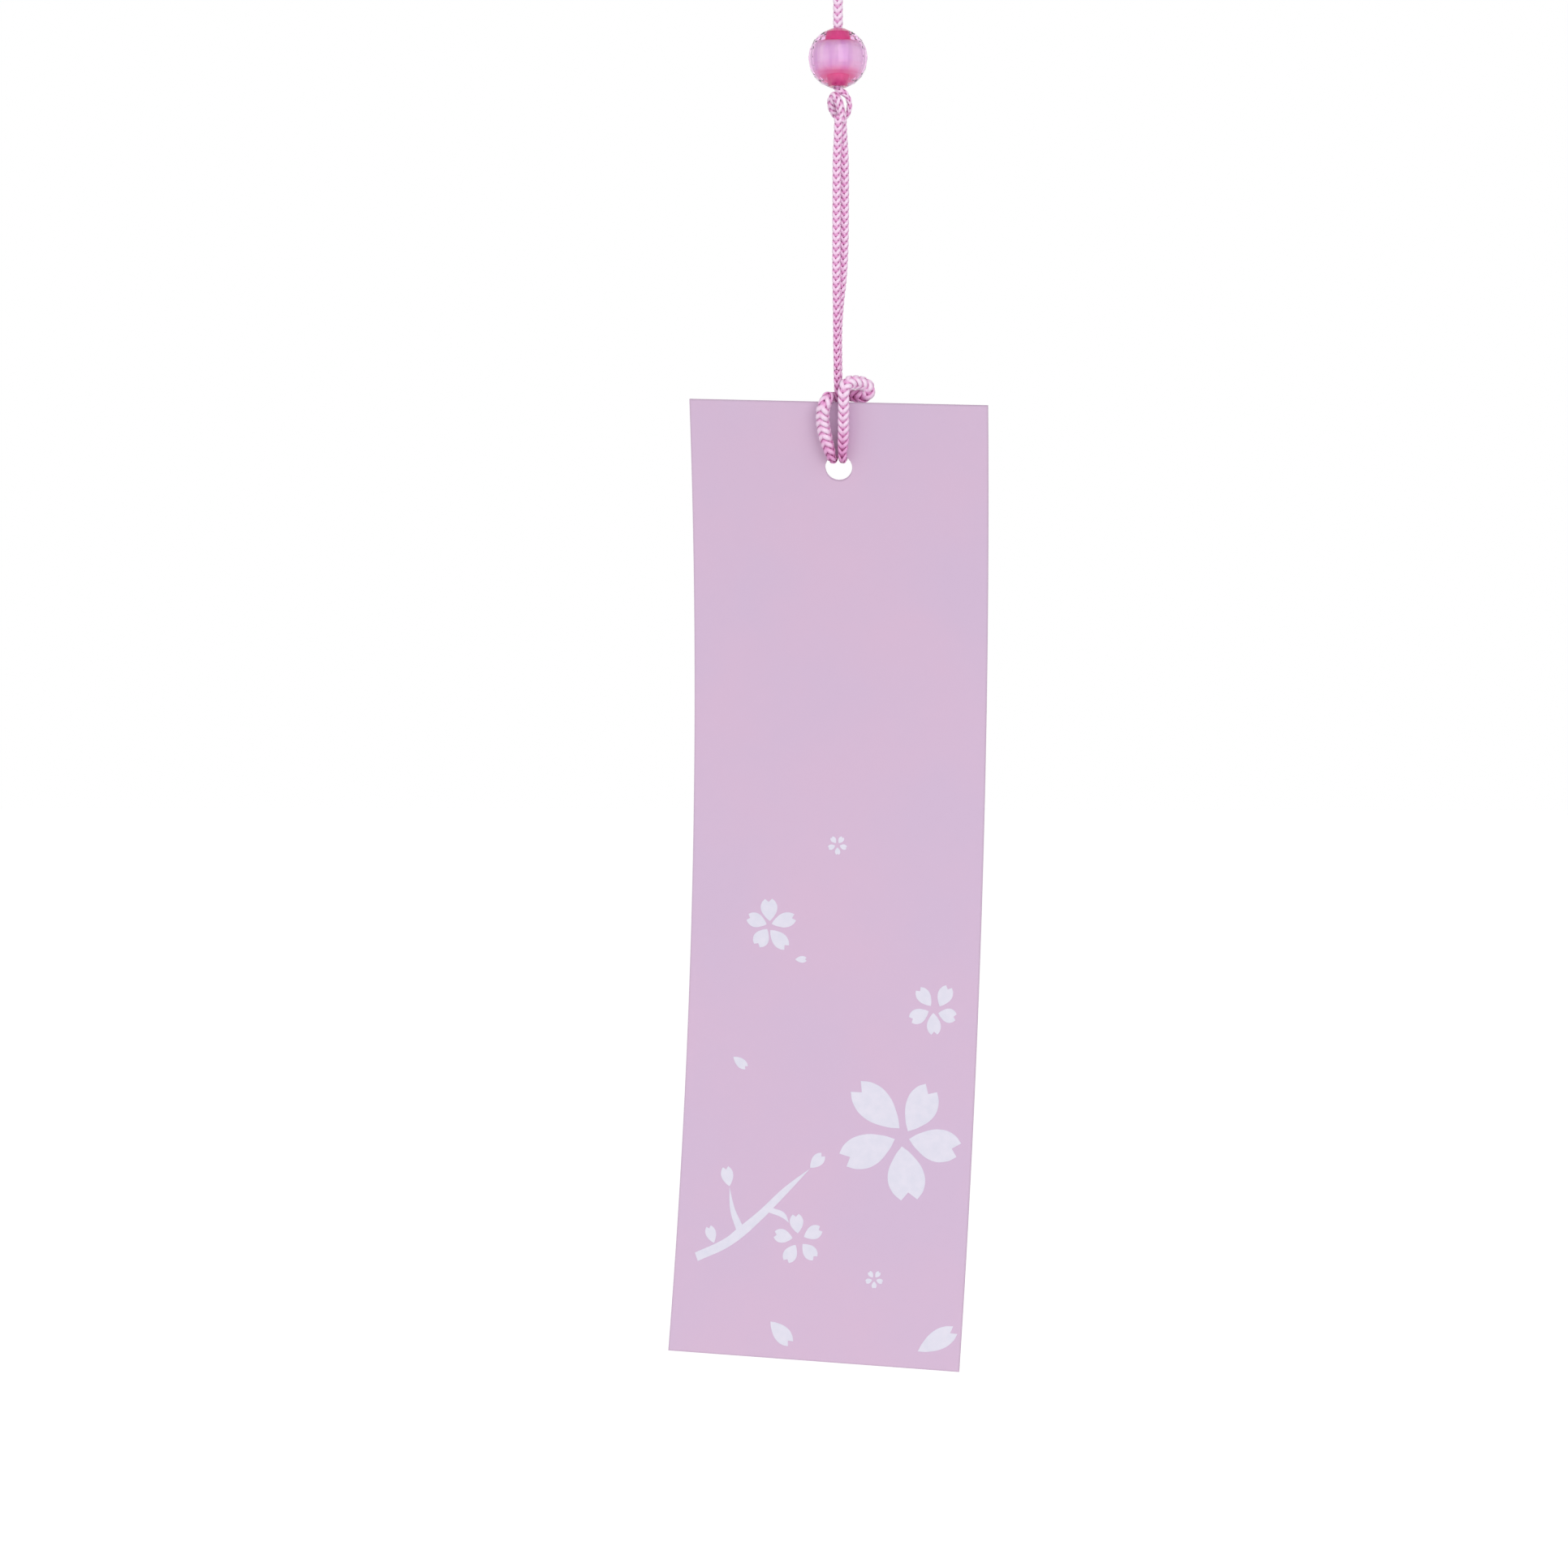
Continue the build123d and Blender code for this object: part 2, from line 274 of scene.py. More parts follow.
def nylon_with_painted_light(name, deep, between, crest):
    """Bright pale pink nylon yarn, silky, with painted shade deep pink in its recesses and a painted
    highlight nearly white on its crests.
    """
    material, tree = new_material(name)
    height = add_node(tree, "ShaderNodeAttribute", attribute_name="height").outputs["Fac"]
    place = add_node(tree, "ShaderNodeTexCoord").outputs["Object"]
    fibres = add_node(tree, "ShaderNodeTexNoise", {"Vector": place, "Scale": 1 / FILAMENT, "Detail": 2.0})
    tone = add_node(tree, "ShaderNodeMath", {0: fibres.outputs["Fac"], 1: TONE_SPREAD, 2: TONE_SHIFT},
                    operation="MULTIPLY_ADD")
    depth = add_node(tree, "ShaderNodeMath", {0: height, 1: tone.outputs[0]},
                     operation="ADD", use_clamp=True)
    # the height in the braid picks the colour: deep pink is painted shade, nearly white a painted highlight
    ramp = add_node(tree, "ShaderNodeValToRGB", {"Fac": depth.outputs[0]})
    ramp.color_ramp.elements[0].position = 0.22
    ramp.color_ramp.elements[0].color = linear(deep)
    ramp.color_ramp.elements[1].position = 0.98
    ramp.color_ramp.elements[1].color = linear(crest)
    ramp.color_ramp.elements.new(0.6).color = linear(between)
    bump = add_node(tree, "ShaderNodeBump",
                    {"Height": fibres.outputs["Fac"], "Strength": 0.35, "Distance": 0.05 * MM})
    shader = add_node(tree, "ShaderNodeBsdfPrincipled",
                      {"Base Color": ramp.outputs["Color"], "Roughness": 0.42, "IOR": 1.53,
                       "Sheen Weight": 0.15, "Normal": bump.outputs["Normal"]})
    finish_material(tree, shader)
    return material


# deep is the painted shade in the recesses and crest the painted highlight on the crests
pink_nylon = nylon_with_painted_light("braided_pink_nylon", deep="#B0458A", between="#EC9FD6", crest="#FFE5FB")
print("finish:", pink_nylon.name)

# %% [markdown]
# ## How a braid is made
#
# A round braid has as many yarns winding to the left as to the right. In this one each passes over two
# yarns and under the next two, so the yarns that slant one way lie on top in two columns along the cord
# and those that slant the other way in two more, which the eye reads as a chain of letters V. A texture
# could only hint at that, so the yarns are modelled: each is a grid rolled into a flat tube, which winds
# round the cord's line while its distance from the line rises and falls. The line itself is a smooth
# NURBS curve from the route's points, read back as a chain of points. Where the cord is slack its yarns
# spread, and where it is pulled tight they close up, so a braid is given its size along its length. It is
# also given a painted shine: lighter colour, a painted highlight, where it is slack, and deeper colour, a
# painted shade, where it is pulled tight or lies in the shade of its own turns.

# %% Lines and stations along a cord
LINE_STEPS = 40
STATION_STEP = 0.15 * MM
LEAST_LEG = 1e-12  # keeps a leg of no length from dividing by zero


def smooth_line(points):
    """The points of a smooth NURBS curve that has these control points."""
    curve = bpy.data.curves.new("route", "CURVE")
    curve.dimensions = "3D"
    spline = curve.splines.new("NURBS")
    spline.points.add(len(points) - 1)
    for control, point in zip(spline.points, points):
        control.co = (*point, 1)
    spline.order_u = 3
    spline.use_endpoint_u = True
    spline.resolution_u = LINE_STEPS
    holder = bpy.data.objects.new("route", curve)
    mesh = bpy.data.meshes.new_from_object(holder)
    line = [vertex.co.copy() for vertex in mesh.vertices]
    bpy.data.objects.remove(holder)
    bpy.data.curves.remove(curve)
    bpy.data.meshes.remove(mesh)
    return line


def stations_along(line):
    """Even places along a line: the distance so far, the point, its direction and two across that."""
    reached = [0.0]
    for a, b in zip(line, line[1:]):
        reached.append(reached[-1] + (b - a).length)
    count = max(2, round(reached[-1] / STATION_STEP))
    points, leg = [], 0
    for i in range(count + 1):
        wanted = reached[-1] * i / count
        while leg < len(line) - 2 and reached[leg + 1] < wanted:
            leg += 1
        share = (wanted - reached[leg]) / max(reached[leg + 1] - reached[leg], LEAST_LEG)
        points.append(line[leg].lerp(line[leg + 1], share))
    stations = []
    for i, point in enumerate(points):
        along = (points[min(i + 1, count)] - points[max(i - 1, 0)]).normalized()
        if stations:
            across = stations[-1][2].rotation_difference(along) @ stations[-1][3]
        else:
            across = Vector((1, 0, 0))
        across = (across - along * across.dot(along)).normalized()
        stations.append((reached[-1] * i / count, point, along, across, along.cross(across)))
    return stations


# %% Eight yarns round a line
CORD_D = 1.5 * MM
BRAID_R = 0.78 * MM
BRAID_LEAD = 4.8 * MM
YARNS_EACH_WAY = 4
YARN_WIDTH = 0.64 * MM
YARN_THICKNESS = 0.28 * MM
YARN_RISE = 0.20 * MM
YARN_SIDES = 6
HEART_R = 0.38 * MM
HEART_SKIP = 6  # the heart has a ring at every sixth station only, because it is hardly seen
MERGE = 0.001 * MM
# share of a cord's length, and the braid's size or added painted shine there, which makes the colour
# lighter as a painted highlight or deeper as a painted shade
EVEN = ((0, 1), (1, 1))
EVEN_SHINE = ((0, 0), (1, 0))


def rolled_grid(bm, rings, sides, place):
    """A grid rolled into a tube: place(ring, turn) gives each point and its height in the braid."""
    height = bm.verts.layers.float["height"]
    grid = bmesh.ops.create_grid(bm, x_segments=sides, y_segments=rings - 1, size=1)["verts"]
    for vertex in grid:
        ring, turn = round((vertex.co.y + 1) / 2 * (rings - 1)), (vertex.co.x + 1) * pi
        vertex.co, vertex[height] = place(ring, turn)
    bmesh.ops.remove_doubles(bm, verts=grid, dist=MERGE)


def close_and_make(bm, name, material):
    """Caps the open ends, turns every face outwards and makes the object."""
    bmesh.ops.holes_fill(bm, edges=[edge for edge in bm.edges if edge.is_boundary], sides=0)
    bmesh.ops.recalc_face_normals(bm, faces=bm.faces)
    for face in bm.faces:
        face.smooth = True
    made = bpy.data.objects.new(name, bpy.data.meshes.new(name))
    bm.to_mesh(made.data)
    bm.free()
    made.data.materials.append(material)
    scene.collection.objects.link(made)
    return made


def read_off(pairs, place):
    """The value at a place, read off evenly between (place, value) pairs."""
    for (start, value), (end, next_value) in zip(pairs, pairs[1:]):
        if place <= end:
            return value + (next_value - value) * (place - start) / (end - start)
    return pairs[-1][1]


def braid(name, stations, swell=EVEN, shine=EVEN_SHINE):
    """A round braid along the stations, coloured as painted highlight and shade by its height, with a plain
    heart inside it in the deepest painted shade.
    """
    crest = BRAID_R - YARN_THICKNESS / 2
    floor_r = crest - YARN_RISE - YARN_THICKNESS / 2
    lean = 2 * pi * (crest - YARN_RISE / 2) / BRAID_LEAD
    slope = Vector((1, lean)).normalized()
    shares = [station[0] / stations[-1][0] for station in stations]
    sizes = [read_off(swell, share) for share in shares]
    shines = [read_off(shine, share) for share in shares]
    bm = bmesh.new()
    bm.verts.layers.float.new("height")
    for hand in (1, -1):
        for yarn in range(YARNS_EACH_WAY):

            def on_yarn(ring, turn):
                distance, point, along, across, beside = stations[ring]
                angle = 2 * pi * (hand * distance / BRAID_LEAD + yarn / YARNS_EACH_WAY)
                outward = across * cos(angle) + beside * sin(angle)
                around = beside * cos(angle) - across * sin(angle)
                sideways = around * slope.x - along * hand * slope.y
                over = (1 + hand * sin(2 * angle)) / 2
                reach = crest - YARN_RISE * (1 - over) + YARN_THICKNESS / 2 * cos(turn)
                offset = outward * reach + sideways * (YARN_WIDTH / 2 * sin(turn))
                # its height in the braid, with the painted shine added, sets its painted highlight or shade
                height = (reach - floor_r) / (BRAID_R - floor_r)
                return point + offset * sizes[ring], height + shines[ring]

            rolled_grid(bm, len(stations), YARN_SIDES, on_yarn)

    coarse = stations[::HEART_SKIP] + stations[-1:]

    def on_heart(ring, turn):
        distance, point, along, across, beside = coarse[ring]
        return point + (across * cos(turn) + beside * sin(turn)) * HEART_R, 0.0

    rolled_grid(bm, len(coarse), YARN_SIDES, on_heart)
    return close_and_make(bm, name, pink_nylon)


# %% [markdown]
# ## The cords
#
# From the top: a loop over the hook, a short length through the top bead and the crown of the bell, a
# length that carries the clapper, the tail through the lower bead, and a doubled length down to the
# strip. Each starts at the knot above it. Where a length swings under its knot, it is blended between
# the two bodies, so that it bends there as cord does. A piece can bend at one joint only, so each of the
# two strands is a short length that bends under the knot and a long one that twists with the strip.

# %% Plumb cords
BEND_LENGTH = 2.5 * MM  # short, so that a cord turns at its pivot and doesn't bow out beside it
# the tail cord is a little fuller than the rest, and painted a little brighter, a painted highlight
FULL = ((0, 1.12), (1, 1.12))
FULL_PAINTED_SHINE = ((0, 0.07), (1, 0.07))


def plumb_cord(node, above, below, joint, swell=EVEN, shine=EVEN_SHINE):
    """A straight cord under a knot, which bends where it leaves the knot."""
    low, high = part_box(node)
    top, bottom = Vector((0, 0, high.z)), Vector((0, 0, low.z))
    stations = stations_along(smooth_line([top, (top + bottom) / 2, bottom]))
    cord = braid(node + "_braid", stations, swell, shine)
    pivot_z = JOINT_Z[joint]
    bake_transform(cord, above, below, start=(0, 0, pivot_z + CORD_D), end=(0, 0, pivot_z - BEND_LENGTH))
    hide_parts(node)
    return cord, stations


plumb_cord("crown_cord", "hanger", "suspension", "bell_swing")
clapper_braid, clapper_stations = plumb_cord("clapper_cord", "suspension", "clapper", "clapper_swing")
tail_braid, tail_stations = plumb_cord("tail_cord", "clapper", "tail", "tail_swing", FULL, FULL_PAINTED_SHINE)

# %% Hanging loop
STRAND_R = 0.8 * MM  # from the middle of a pair of cords to the middle of each
LOOP_KNOT_TOP = -60 * MM
LOOP_NECK = -57.5 * MM
LOOP_SHOULDER = -22 * MM
LOOP_CHEEK = -9 * MM
LOOP_TOP = CORD_D / 2
LOOP_LEG = 3.75 * MM
EIGHTH = LOOP_LEG * tan(pi / 8)  # with its points on an octagon the top bend is nearly round
loop_half = [
    (-STRAND_R, 0, LOOP_KNOT_TOP),
    (-STRAND_R, 0, LOOP_NECK),
    (-LOOP_LEG, 0, LOOP_SHOULDER),
    (-LOOP_LEG, 0, LOOP_CHEEK),
    (-LOOP_LEG, 0, LOOP_TOP - LOOP_LEG + EIGHTH),
    (-EIGHTH, 0, LOOP_TOP),
]
loop_route = loop_half + [(-x, y, z) for x, y, z in reversed(loop_half)]
loop_stations = stations_along(smooth_line(loop_route))
loop_braid = braid("hanging_loop_braid", loop_stations)
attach(loop_braid, "hanger")
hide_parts("hanging_loop")

# %% Doubled cord to the strip
PIVOT_Z = JOINT_Z["strip_swing"]
HITCH_Z = JOINT_Z["strip_twist"]
# millimetres below the pivot, shift of the pair to the right, and degrees that the pair is turned
PAIR = [
    (-1.6, 0.40, 78),
    (1.5, 0.45, 70),
    (5.0, 0.45, 45),
    (13.0, 0.45, 43),
    (20.0, 0.40, 46),
    (25.0, 0.25, 60),
    (30.0, 0.0, 84),
    (35.0, -0.1, 90),
]
STRETCHED = ((0, 1), (0.6, 1), (0.85, 0.83), (1, 0.83))
# painted shade: the pair is coloured deeper towards the hitch, where it is pulled tight
STRETCHED_PAINTED_SHADE = ((0, 0), (0.6, 0), (0.85, -0.12), (1, -0.12))


def strand_route(side):
    """A strand's points: half beside the other along the way, before it or behind it at both ends."""
    route, reach = [], side * STRAND_R
    for drop, shift, turn in PAIR:
        x, y = reach * cos(radians(turn)), reach * sin(radians(turn))
        route.append((shift * MM + x, y, PIVOT_Z - drop * MM))
    return route + [(0, reach, HITCH_Z)]


bend_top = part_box("bead_knot")[0].z
bend_end = PIVOT_Z - BEND_LENGTH
for node, side in (("strip_cord_left", -1), ("strip_cord_right", 1)):
    stations = stations_along(smooth_line(strand_route(side)))
    split = sum(station[1].z > bend_end for station in stations)
    bend = braid(node + "_bend", stations[:split + 1])
    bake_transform(bend, "tail", "strip_line", start=(0, 0, bend_top), end=(0, 0, bend_end))
    strand = braid(node + "_braid", stations[split:], STRETCHED, STRETCHED_PAINTED_SHADE)
    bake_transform(strand, "strip_line", "strip", start=(0, 0, bend_end), end=(0, 0, HITCH_Z))
    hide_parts(node)

# %% [markdown]
# ## The hitch
#
# The doubled cord ends in a loop. It goes down behind the card, comes through the hole and up the front,
# and passes round its own two strands above the top edge, which is a lark's head. It isn't drawn tight,
# so two plump legs stand in front of the card and a slack bend pokes out at the right.

# %% Hitch
HOLE_X = -0.4 * MM
HOLE_Y = 3.0 * MM
HITCH_DROP = 15.7 * MM
STRAND_GAP = 0.1 * MM
HITCH_LEAD = 1.2 * MM
hole = Vector((HOLE_X, HOLE_Y, HITCH_Z - HITCH_DROP))
# millimetres from the hole: down the back, up the left leg, round the strands, out to the slack bend,
# down the right leg and up the back
HITCH_POINTS = [
    (0.4, -3.15, 12.3),
    (0.4, -2.4, 10.6),
    (0.0, -1.6, 8.4),
    (-0.5, -0.3, 5.2),
    (-0.8, 1.2, 1.9),
    (-0.8, -1.3, 0.8),
    (-1.1, -2.5, 2.5),
    (-1.7, -3.3, 4.8),
    (-2.0, -4.1, 7.1),
    (-1.8, -5.0, 8.8),
    (-1.4, -5.5, 10.0),
    (-0.9, -4.9, 11.1),
    (-1.2, -2.9, 11.4),
    (-1.1, -0.5, 11.6),
    (0.0, 0.8, 11.8),
    (1.5, 0.4, 11.9),
    (2.6, -0.8, 11.75),
    (3.7, -1.6, 11.55),
    (4.6, -1.9, 11.4),
    (5.45, -2.2, 11.9),
    (5.45, -2.5, 12.95),
    (4.6, -3.1, 13.5),
    (3.7, -3.9, 13.6),
    (2.8, -4.8, 13.55),
    (2.1, -5.5, 13.0),
    (1.8, -5.8, 11.8),
    (1.8, -5.4, 10.0),
    (1.6, -4.5, 7.7),
    (1.4, -3.4, 5.1),
    (1.1, -2.3, 3.0),
    (0.8, -1.3, 0.8),
    (0.8, 1.2, 1.9),
    (1.0, 1.0, 4.2),
    (0.9, -0.1, 8.4),
    (0.5, -0.7, 10.6),
    (0.4, -1.2, 12.3),
]
# tight in the hole and round the strands, full on the legs and in the slack bend
SLACK = ((0, 0.83), (0.19, 0.88), (0.22, 0.85), (0.25, 1.35), (0.28, 1.52), (0.35, 1.52), (0.4, 1.15),
         (0.46, 1.15), (0.5, 1.45), (0.53, 1.5), (0.6, 1.5), (0.64, 1.3), (0.74, 1.28), (0.785, 0.85),
         (0.82, 0.88), (1, 0.83))
# painted shade: deeper colour in the hole, behind the strands and on the under strand of the slack bend, and
# a slight painted highlight on the legs and on the bend's top strand
HITCH_PAINTED_SHADE_AND_SHINE = ((0, -0.12), (0.2, -0.3), (0.235, -0.3), (0.285, 0.02), (0.35, 0.05), (0.4, -0.3),
                 (0.5, -0.35), (0.55, 0.05), (0.62, 0.05), (0.7, 0.02), (0.755, -0.3), (0.8, -0.3),
                 (1, -0.12))
hitch_top = HITCH_Z - STRAND_GAP
hitch_route = [Vector((0, -STRAND_R, hitch_top)), Vector((0, -STRAND_R, hitch_top - HITCH_LEAD))]
hitch_route += [hole + Vector(point) * MM for point in HITCH_POINTS]
hitch_route += [Vector((0, STRAND_R, hitch_top - HITCH_LEAD)), Vector((0, STRAND_R, hitch_top))]
hitch_stations = stations_along(smooth_line(hitch_route))
hitch_braid = braid("strip_hitch_braid", hitch_stations, SLACK, HITCH_PAINTED_SHADE_AND_SHINE)
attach(hitch_braid, "strip")
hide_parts("strip_hitch")

# %% [markdown]
# ## The knots
#
# An overhand knot shows as a thin loop at one side, a lump at the other and a slanting turn across its
# front. One route gives all four knots, and each is turned its own way about the cord, so that they
# don't look stamped out. Three end on the single cord below them, and the last beside the pair.

# %% Knots
# millimetres from the knot's middle
KNOT_ROUTE = [
    (0.0, 0.0, 2.8),
    (0.25, -0.2, 2.2),
    (1.15, -0.4, 1.9),
    (1.95, -0.2, 0.6),
    (1.85, 0.1, -1.1),
    (1.0, 0.6, -2.3),
    (-0.4, 0.9, -1.5),
    (-1.1, 0.4, -0.2),
    (-1.1, -0.4, 0.9),
    (-0.5, -1.05, 1.5),
    (0.1, -1.2, 0.4),
    (0.5, -1.1, -1.0),
]
# the last points, where a knot meets the single cord or the pair
INTO_CORD = [(0.4, -0.75, -2.0), (0.05, -0.1, -2.5), (0.0, 0.0, -2.95)]
INTO_PAIR = [(0.55, -0.8, -2.2), (0.5, -0.65, -2.9)]
# thin where the loop at the side is pulled
PULLED = ((0, 0.95), (0.06, 0.9), (0.13, 0.64), (0.36, 0.64), (0.46, 0.95), (1, 0.95))
# node, body, degrees that it is turned, and its end
KNOTS = [
    ("loop_knot", "hanger", 160, INTO_CORD),
    ("crown_knot", "suspension", 60, INTO_CORD),
    ("clapper_knot", "clapper", -50, INTO_CORD),
    ("bead_knot", "tail", 11, INTO_PAIR),
]
for node, body, turn, end in KNOTS:
    centre, turn = middle(node), radians(turn)
    route = [centre + Vector((x * cos(turn) - y * sin(turn), x * sin(turn) + y * cos(turn), z)) * MM
             for x, y, z in KNOT_ROUTE + end]
    knot = braid(node + "_turns", stations_along(smooth_line(route)), PULLED)
    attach(knot, body)
    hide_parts(node)
print("knots:", len(KNOTS), "each of about", len(knot.data.polygons), "faces")

# %% [markdown]
# ## The card strip
#
# The strip is stiff lilac card with a punched hole. It was rolled up once, so it curls forward at both
# ends, and it hangs a little askew. It is easiest to model flat: a grid, with a square of cells taken
# out round the hole and the gap's edge extruded in to a circle. A function then says where a place on
# the flat strip is on the hanging one, and serves the print as well.

# %% Where the flat strip hangs
STRIP_W = 50 * MM
STRIP_L = 163 * MM
CARD_T = 0.35 * MM
HOLE_D = 4.6 * MM
HOLE_DROP = 11 * MM
LEAN_TOP = radians(19.9)
LEAN_END = radians(-10.2)
STRIP_ROLL = radians(2.4)
CURL_R = STRIP_L / (LEAN_TOP - LEAN_END)


def lean_at(down):
    """How far the strip leans back, this far down from its top edge."""
    return LEAN_TOP - (LEAN_TOP - LEAN_END) * down / STRIP_L


def on_strip(across, down, lift=0.0):
    """A place on the hanging strip: across from its middle, down from its top edge, lifted to the front."""
    hole_lean, lean = lean_at(HOLE_DROP), lean_at(down)
    y = (CURL_R - lift) * cos(lean) - CURL_R * cos(hole_lean)
    z = (CURL_R - lift) * sin(lean) - CURL_R * sin(hole_lean)
    x = across * cos(STRIP_ROLL) + z * sin(STRIP_ROLL)
    return hole + Vector((x, y, z * cos(STRIP_ROLL) - across * sin(STRIP_ROLL)))


# %% Lilac card
def lilac_card():
    """Uncoated card: matt, faintly mottled pulp, a little darker and greyer in a narrow band along its
    edges.
    """
    material, tree = new_material("uncoated_lilac_card")
    place = add_node(tree, "ShaderNodeTexCoord").outputs["Object"]
    clouds = add_node(tree, "ShaderNodeTexNoise", {"Vector": place, "Scale": 1 / (22 * MM), "Detail": 3.0})
    ramp = add_node(tree, "ShaderNodeValToRGB", {"Fac": clouds.outputs["Fac"]})
    ramp.color_ramp.elements[0].position = 0.35
    ramp.color_ramp.elements[0].color = linear("#D9BFDB")
    ramp.color_ramp.elements[1].position = 0.65
    ramp.color_ramp.elements[1].color = linear("#DDBFDA")
    pulp = add_node(tree, "ShaderNodeTexNoise", {"Vector": place, "Scale": 1 / (0.6 * MM), "Detail": 4.0})
    # darker and greyer in a narrow band along every edge of the card and round its hole
    edge = add_node(tree, "ShaderNodeAttribute", attribute_name="edge").outputs["Fac"]
    edge_greying = add_node(tree, "ShaderNodeMath", {0: edge, 1: 0.55}, operation="MULTIPLY")
    colour = add_node(tree, "ShaderNodeMix", {"Factor": edge_greying.outputs[0]}, data_type="RGBA")
    tree.links.new(ramp.outputs["Color"], colour.inputs["A"])
    colour.inputs["B"].default_value = linear("#B9A3B8")
    bump = add_node(tree, "ShaderNodeBump",
                    {"Height": pulp.outputs["Fac"], "Strength": 0.12, "Distance": 0.05 * MM})
    shader = add_node(tree, "ShaderNodeBsdfPrincipled",
                      {"Base Color": colour.outputs["Result"], "Roughness": 0.8, "Specular IOR Level": 0.3,
                       "Normal": bump.outputs["Normal"]})
    finish_material(tree, shader)
    return material


card = lilac_card()
print("finish:", card.name)

# %% Strip
CELLS_ACROSS = 40
CELLS_DOWN = 130
HOLE_CELLS = 6
EDGE_BAND = 0.3 * MM

bm = bmesh.new()
bmesh.ops.create_grid(bm, x_segments=CELLS_ACROSS, y_segments=CELLS_DOWN, size=0.5)
bmesh.ops.scale(bm, vec=(STRIP_W, STRIP_L, 1), verts=bm.verts)
bmesh.ops.translate(bm, vec=(0, -STRIP_L / 2, 0), verts=bm.verts)
cell_w, cell_l = STRIP_W / CELLS_ACROSS, STRIP_L / CELLS_DOWN
first_row = round(HOLE_DROP / cell_l - HOLE_CELLS / 2) * cell_l
inside = [face for face in bm.faces
          if abs(face.calc_center_median().x) < HOLE_CELLS / 2 * cell_w
          and first_row < -face.calc_center_median().y < first_row + HOLE_CELLS * cell_l]
bmesh.ops.delete(bm, geom=inside, context="FACES")
# the open edges near the hole, and not those round the strip
gap = [edge for edge in bm.edges if edge.is_boundary and all(
    abs(vertex.co.x) < STRIP_W / 4 and -STRIP_L / 4 < vertex.co.y < -cell_l / 2 for vertex in edge.verts)]
punched = bmesh.ops.extrude_edge_only(bm, edges=gap)["geom"]
for vertex in [part for part in punched if isinstance(part, bmesh.types.BMVert)]:
    from_hole = vertex.co - Vector((0, -HOLE_DROP, 0))
    vertex.co = Vector((0, -HOLE_DROP, 0)) + from_hole.normalized() * HOLE_D / 2
bmesh.ops.inset_region(bm, faces=bm.faces, thickness=EDGE_BAND, use_boundary=True, use_even_offset=True)
edge_layer = bm.verts.layers.float.new("edge")
for vertex in bm.verts:
    vertex[edge_layer] = 1.0 if vertex.is_boundary else 0.0
for vertex in bm.verts:
    vertex.co = on_strip(vertex.co.x, -vertex.co.y)
bmesh.ops.recalc_face_normals(bm, faces=bm.faces)
strip = bpy.data.objects.new("lilac_card_strip", bpy.data.meshes.new("lilac_card_strip"))
bm.to_mesh(strip.data)
print("strip cells:", len(bm.faces), "edges round the hole:", len(gap))
bm.free()
strip.data.materials.append(card)
thickness = strip.modifiers.new("card", "SOLIDIFY")
thickness.thickness = CARD_T
thickness.offset = 0
scene.collection.objects.link(strip)
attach(strip, "strip")
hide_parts("paper_strip")

# %% [markdown]
# ## The print
#
# The card is printed in white with cherry blossoms: one large, two middling, two small, a few loose
# petals in the wind, and a budding twig at the lower left. A picture file could carry the print, but a
# shape stays sharp at any distance. Each petal is a flat outline with a pointed base and a notched tip,
# filled and cut into small squares, so that it can follow the curl of the card, and laid on it as a film
# of ink.

# %% Flat shapes
# share of the length, share of half the width, and 1 where the outline has a corner
PETAL = [
    (0.0, 0.0, 1),
    (0.17, 0.47, 0),
    (0.55, 1.0, 0),
    (0.84, 0.84, 0),
    (1.0, 0.44, 1),
    (0.86, 0.0, 1),
    (1.0, -0.44, 1),
    (0.84, -0.84, 0),
    (0.55, -1.0, 0),
    (0.17, -0.47, 0),
]
LOBE_LEAN = 0.04
OUTLINE_STEPS = 6
PETAL_COUNT = 5
# of an even blossom's size: from its centre to a petal's base, a petal's length and its width
EVEN_BASE, EVEN_LENGTH, EVEN_WIDTH = 0.12, 0.38, 0.27


def petal(across, up, angle, length, width, lean=0):
    """A petal's outline in mm from its base, at an angle in degrees. A lean makes its left lobe longer."""
    turn = radians(angle)
    outline = []
    for along, aside, corner in PETAL:
        x, y = along * length * (1 + lean * LOBE_LEAN * aside), aside * width / 2
        outline.append((across + x * cos(turn) - y * sin(turn), up + x * sin(turn) + y * cos(turn), corner))
    return outline


def blossom(across, up, size, petals):
    """Petals round a centre, each given as its base from there, its angle, length, width and lean."""
    return [petal(across + x * size, up + y * size, angle, length * size, width * size, lean)
            for x, y, angle, length, width, lean in petals]


def even_blossom(across, up, size, first):
    """Like petals at even angles, for a small blossom or a painted one."""
    petals = []
    for angle in [first + 360 / PETAL_COUNT * i for i in range(PETAL_COUNT)]:
        x, y = EVEN_BASE * cos(radians(angle)), EVEN_BASE * sin(radians(angle))
        petals.append((x, y, angle, EVEN_LENGTH, EVEN_WIDTH, 0))
    return blossom(across, up, size, petals)


